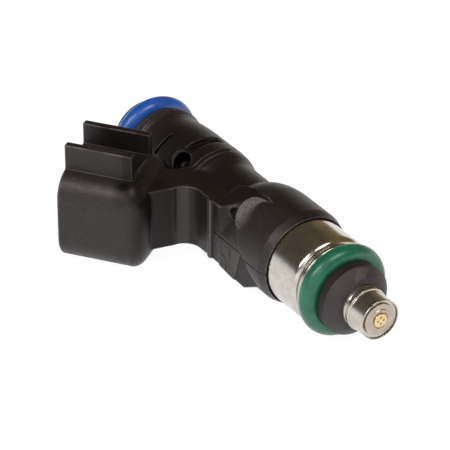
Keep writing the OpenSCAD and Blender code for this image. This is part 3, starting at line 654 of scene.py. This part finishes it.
def moulded(name, dark, light, edge_col, r0=0.46, r1=0.62, edge_attr=True, grain=1.0, tone=False):
    """Glass-filled nylon: faint flow mottling, fine pitted grain, pale edges that are part wear and part painted
    highlight, a few scuffs.
    """
    k = Mat(name)
    v = k.scale(1000)
    flow = k.noise(k.scale(700, 1100, 1100), 0.55, 4, 0.6, 0.4)
    mot = k.noise(v, 1.7, 3, 0.6)
    gr = k.noise(v, 11, 3, 0.7)
    pit = k.voro(v, 6.5)
    base = k.mix(k.ramp(flow, 0.32, 0.68), dark, light)
    base = k.mix(k.ramp(mot, 0.45, 0.75, 0, 0.35), base, light)
    if edge_attr:
        e = k.ramp(k.attr("edge"), 0.9, 3.2)
    else:
        e = k.ramp(k.edge(), 0.53, 0.6)
    # pale edges: part edge wear, part painted highlight on edges that catch the light
    wear_and_highlight = k.math("MULTIPLY", e, k.ramp(k.noise(v, 2.3, 2), 0.3, 0.62, 0.35, 1.0))
    base = k.mix(wear_and_highlight, base, edge_col)
    specks = k.ramp(k.voro(v, 1.25), 0.05, 0.11, 1, 0)
    speckle = k.math("MULTIPLY", specks, k.ramp(k.noise(v, 0.45, 1), 0.5, 0.62))
    # fine pale grain of the glass fibres at the surface
    fibre = k.ramp(k.noise(k.scale(1000, 700, 900), 4.6, 3, 0.75), 0.54, 0.74)
    base = k.mix(k.math("MULTIPLY", fibre, 0.34), base, edge_col)
    base = k.mix(k.math("MULTIPLY", speckle, 0.35), base, edge_col)
    rough = k.ramp(k.math("ADD", k.math("MULTIPLY", mot, 0.6), k.math("MULTIPLY", gr, 0.4)), 0.3, 0.7, r0, r1)
    if tone:
        # the tone paints light and shade: a positive tone is a painted highlight, paler and coarser, a negative one a
        # painted shade, darker and smoother
        t = k.attr("tone")
        pale = k.math("MULTIPLY", k.ramp(t, 0.0, 1.0), k.ramp(k.noise(v, 3.6, 3, 0.75), 0.38, 0.62, 0.25, 1.0))
        base = k.mix(pale, base, (0.155, 0.14, 0.143))
        base = k.mix(k.ramp(t, 0.0, -1.0), base, [c * 0.35 for c in dark])
        k.put(k.b.inputs["Specular IOR Level"], k.ramp(t, -1.0, 0.0, 0.16, 0.5))
        rough = k.math("ADD", rough, k.math("MULTIPLY", k.ramp(t, -1.0, 1.0, -1.0, 1.0), 0.12))
    k.b.inputs["Specular Tint"].default_value = (1.0, 0.925, 0.915, 1.0)
    n1 = k.bump(gr, 0.00002 * grain, 0.8)
    n2 = k.bump(k.ramp(pit, 0.0, 0.35), 0.000012 * grain, 0.6, n1)
    n3 = k.bump(mot, 0.00005 * grain, 0.5, n2)
    n3 = k.bump(k.noise(v, 4.2, 2, 0.6), 0.000022 * grain, 0.8, n3)
    return k.done(base, rough, n3, IOR=1.5)


def rubber(name, dark, mid, light):
    """Fluoro rubber seal: even colour, soft sheen, faint swirl, thin oily film that comes and goes, dust."""
    k = Mat(name)
    v = k.scale(1000)
    sw = k.noise(v, 0.5, 3, 0.6, 0.8)
    gr = k.noise(v, 16, 2, 0.6)
    base = k.mix(k.ramp(sw, 0.35, 0.65), dark, mid)
    dust = k.math("MULTIPLY", k.ramp(k.voro(v, 3.0), 0.03, 0.09, 1, 0), k.ramp(k.noise(v, 0.8, 1), 0.5, 0.6))
    base = k.mix(k.math("MULTIPLY", dust, 0.3), base, light)
    rough = k.ramp(k.noise(v, 0.9, 3, 0.55), 0.3, 0.7, 0.27, 0.4)
    n = k.bump(gr, 0.000006, 0.6)
    n = k.bump(sw, 0.00004, 0.4, n)
    return k.done(base, rough, n, Specular_IOR_Level=0.5, Coat_Weight=0.18, Coat_Roughness=0.2, Sheen_Weight=0.05)


def metal(name, dark, light, r0, r1, turned=1.0, scratch=1.0, stain=None, aniso=0.0):
    """Turned or drawn metal: fine rings round the axis, light scratches, handling marks and tarnish."""
    k = Mat(name)
    v = k.scale(1000)
    ring = k.noise(k.scale(1000, 14, 14), 9, 3, 0.65)
    ring2 = k.noise(k.scale(1000, 40, 40), 2.2, 2, 0.5)
    scr = k.noise(k.scale(160, 900, 900), 3.2, 2, 0.7, 0.3)
    cloud = k.noise(v, 0.42, 4, 0.6, 0.5)
    base = k.mix(k.ramp(cloud, 0.3, 0.72), dark, light)
    if stain:
        base = k.mix(k.ramp(k.noise(v, 0.9, 4, 0.65, 1.2), 0.58, 0.76, 0, 0.55), base, stain)
    fleck = k.math("MULTIPLY", k.ramp(k.noise(v, 5.5, 4, 0.75), 0.5, 0.72), k.ramp(k.noise(v, 0.7, 2), 0.35, 0.6, 0.3, 1.0))
    base = k.mix(k.math("MULTIPLY", fleck, 0.5), base, stain or dark)
    rr = k.math("ADD", k.math("MULTIPLY", ring, 0.5), k.math("MULTIPLY", cloud, 0.5))
    rough = k.ramp(rr, 0.3, 0.7, r0, r1)
    n = k.bump(ring, 0.0000025 * turned, 1.0)
    n = k.bump(ring2, 0.000004 * turned, 0.8, n)
    n = k.bump(k.ramp(scr, 0.62, 0.7), 0.000003 * scratch, 0.7, n)
    return k.done(base, rough, n, Metallic=1.0)


M = {}
M["black_nylon"] = moulded("glass_filled_nylon", (0.0088, 0.0060, 0.0058), (0.0140, 0.0100, 0.0096), (0.095, 0.082, 0.078), 0.37, 0.51, tone=True)
M["black_ring"] = moulded("ring_nylon", (0.02, 0.019, 0.019), (0.03, 0.029, 0.029), (0.06, 0.06, 0.06), edge_attr=False)
M["grey_plastic"] = moulded("cap_polymer", (0.024, 0.0195, 0.0205), (0.033, 0.0275, 0.0285), (0.07, 0.062, 0.064), 0.5, 0.62, False, 0.8, tone=True)
M["blue_rubber"] = rubber("blue_seal_rubber", (0.004, 0.07, 0.36), (0.010, 0.11, 0.50), (0.25, 0.35, 0.6))
M["green_rubber"] = rubber("green_seal_rubber", (0.003, 0.104, 0.053), (0.005, 0.142, 0.077), (0.25, 0.42, 0.36))
M["bright_steel"] = metal("drawn_steel", (0.52, 0.49, 0.44), (0.66, 0.63, 0.585), 0.13, 0.22, 1.0, 1.0, (0.40, 0.34, 0.27))
M["tip_steel"] = metal("turned_steel", (0.50, 0.465, 0.42), (0.66, 0.63, 0.585), 0.16, 0.3, 2.0, 1.5, (0.36, 0.31, 0.25))
M["brass"] = metal("spray_brass", (0.72, 0.52, 0.26), (0.90, 0.72, 0.42), 0.25, 0.4, 1.0, 1.5, (0.55, 0.42, 0.28))
M["spring_steel"] = metal("spring_wire", (0.45, 0.45, 0.45), (0.58, 0.58, 0.58), 0.2, 0.35)
M["core_iron"] = metal("core_iron", (0.36, 0.36, 0.38), (0.46, 0.46, 0.48), 0.3, 0.5, 3.0)
M["tinned"] = metal("tinned_bronze", (0.58, 0.55, 0.48), (0.74, 0.72, 0.66), 0.22, 0.4, 1.0, 2.0, (0.5, 0.42, 0.3))
M["ball_steel"] = metal("lapped_ball", (0.7, 0.7, 0.72), (0.8, 0.8, 0.82), 0.04, 0.1, 0.2, 0.2)
M["copper"] = metal("enamelled_copper", (0.45, 0.16, 0.06), (0.68, 0.28, 0.11), 0.25, 0.42, 9.0)
M["bobbin_plastic"] = moulded("bobbin_polymer", (0.03, 0.06, 0.04), (0.05, 0.09, 0.065), (0.12, 0.16, 0.13), edge_attr=False)


def mesh_cloth():
    k = Mat("filter_weave")
    s = k.xyz()
    w1 = k.t.nodes.new("ShaderNodeTexWave")
    w1.inputs["Scale"].default_value = 3
    k.put(w1.inputs["Vector"], k.scale(1000, 200, 200))
    base = k.mix(k.ramp(w1.outputs[1], 0.2, 0.8), (0.42, 0.4, 0.36), (0.72, 0.7, 0.64))
    return k.done(base, k.ramp(k.noise(k.scale(1000), 6), 0.3, 0.7, 0.5, 0.75), k.bump(w1.outputs[1], 0.00002, 0.8))


M["nylon_mesh"] = mesh_cloth()


def dress(o, m):
    if len(o.data.materials) == 0:
        o.data.materials.append(m)
    else:
        for i in range(len(o.data.materials)):
            o.data.materials[i] = m


slot_of = {s["node"]: s["material_slot"] for s in frame["record"]["subparts"]}
for n, o in frame["nodes"].items():
    dress(o, M[slot_of[n]])
for o, n in ((body, "overmould"), (up_seal, "upper_o_ring"), (low_seal, "lower_o_ring"), (can, "magnet_housing"), (back, "backing_ring"),
             (cap, "lower_cap"), (tube, "valve_body"), (keep, "plate_retainer"), (support, "upper_support_ring"), (plate, "orifice_plate")):
    dress(o, M[slot_of[n]])
dress(keep, metal("welded_ring", (0.44, 0.375, 0.315), (0.60, 0.52, 0.45), 0.26, 0.42, 1.5, 1.5, (0.42, 0.33, 0.26)))


# ---------------------------------------------------------------- stage
fl = bpy.data.meshes.new("studio_floor")
z0 = CAD_BOX[0][2] - 0.00002
fl.from_pydata([(-3, -3, z0), (3, -3, z0), (3, 3, z0), (-3, 3, z0)], [], [(0, 1, 2, 3)])
floor = bpy.data.objects.new("studio_floor", fl)
bpy.context.scene.collection.objects.link(floor)
fm = Mat("pale_paper")
fm.b.inputs["Emission Color"].default_value = (1, 1, 1, 1)
fm.b.inputs["Emission Strength"].default_value = 0.96
fm.done(fm.mix(fm.noise(fm.scale(20), 3, 2), (0.10, 0.10, 0.10), (0.12, 0.12, 0.12)), 0.9, Specular_IOR_Level=0.1)
floor.data.materials.append(fm.m)

world = bpy.data.worlds.new("studio")
bpy.context.scene.world = world
world.use_nodes = True
wt = world.node_tree
wt.nodes.clear()
wo = wt.nodes.new("ShaderNodeOutputWorld")
bg = wt.nodes.new("ShaderNodeBackground")
wt.links.new(bg.outputs[0], wo.inputs[0])
def wnode(kind, **kw):
    n = wt.nodes.new(kind)
    for k, v in kw.items():
        setattr(n, k, v)
    return n


def wmath(op, a, b):
    n = wnode("ShaderNodeMath", operation=op)
    for i, v in enumerate((a, b)):
        if isinstance(v, bpy.types.NodeSocket):
            wt.links.new(v, n.inputs[i])
        else:
            n.inputs[i].default_value = v
    return n.outputs[0]


def wramp(v, stops):
    n = wnode("ShaderNodeValToRGB")
    wt.links.new(v, n.inputs[0])
    el = n.color_ramp.elements
    el[0].position, el[0].color = stops[0][0], (*stops[0][1], 1)
    el[1].position, el[1].color = stops[-1][0], (*stops[-1][1], 1)
    for pos, c in stops[1:-1]:
        e = el.new(pos)
        e.color = (*c, 1)
    return n.outputs[0]


# a white table below, a dark room above; the white reaches higher up in front of the part than behind it
sp = wnode("ShaderNodeSeparateXYZ")
wt.links.new(wnode("ShaderNodeTexCoord").outputs["Generated"], sp.inputs[0])
toward = wmath("ADD", wmath("MULTIPLY", sp.outputs[0], 0.84), wmath("MULTIPLY", sp.outputs[1], -0.54))
front = wmath("MINIMUM", wmath("MAXIMUM", toward, -1.0), 1.0)
rise = wmath("SUBTRACT", sp.outputs[2], wmath("MULTIPLY", wmath("ADD", front, 0.8), 0.13))
band = wmath("ADD", wmath("MULTIPLY", rise, 0.6), 0.35)
sky = wramp(band, [(0.0, (1, 1, 1)), (0.36, (0.9, 0.92, 0.96)), (0.41, (0.18, 0.18, 0.21)), (0.48, (0.10, 0.08, 0.060)),
                   (0.75, (0.09, 0.076, 0.052)), (1.0, (0.12, 0.10, 0.075))])
# a warmer, paler wall far behind on the right
wall = wramp(wmath("ADD", sp.outputs[1], 0.0), [(0.42, (1, 1, 1)), (0.62, (2.1, 1.95, 1.5))])
tint = wnode("ShaderNodeMix", data_type="RGBA", blend_type="MULTIPLY")
tint.inputs[0].default_value = 1.0
wt.links.new(sky, tint.inputs[6])
wt.links.new(wall, tint.inputs[7])
sky = tint.outputs[2]
wt.links.new(sky, bg.inputs[0])
bg.inputs[1].default_value = 1.0


def area(name, direction, dist, size, power, color=(1, 1, 1), size_y=None, along=None):
    l = bpy.data.lights.new(name, "AREA")
    l.shape = "RECTANGLE"
    l.size, l.size_y = size, size_y or size
    l.energy, l.color = power, color
    o = bpy.data.objects.new(name, l)
    bpy.context.scene.collection.objects.link(o)
    c = Vector((-0.022, -0.006, 0))
    d = Vector(direction).normalized()
    o.location = c + d * dist
    o.rotation_euler = d.to_track_quat("Z", "Y").to_euler()
    if along:
        x = (Vector(along) - d * d.dot(Vector(along))).normalized()
        y = d.cross(x)
        o.rotation_euler = Matrix((x, y, d)).transposed().to_euler()
    return o


area("soft_left", (0.0, -0.68, 0.72), 0.9, 0.5, 3.9, (1.0, 0.98, 0.98), 0.30, (0.47, 0.86, 0.19))
area("soft_top", (0.42, 0.10, 0.90), 0.9, 0.46, 2.6, (1.0, 0.96, 0.88), 0.22, (0.47, 0.86, 0.19))
area("soft_low", (0.45, -0.87, 0.16), 1.0, 0.6, 0.5, (1.0, 0.985, 0.98))
area("soft_camera", (0.62, -0.50, 0.60), 1.1, 0.5, 1.1, (1.0, 0.99, 0.98))

cam = bpy.data.cameras.new("camera")
cam.lens, cam.sensor_width = 248.17, 36
cam.clip_start, cam.clip_end = 0.01, 20
camo = bpy.data.objects.new("camera", cam)
bpy.context.scene.collection.objects.link(camo)
camo.matrix_world = Matrix(((0.537936, -0.438247, 0.720114, 0.3102), (0.842985, 0.279659, -0.459527, -0.21804),
                            (0.0, 0.854242, 0.519874, 0.24147), (0, 0, 0, 1)))
bpy.context.scene.camera = camo
bpy.context.scene.view_settings.view_transform = "Standard"
bpy.context.scene.view_settings.look = "None"
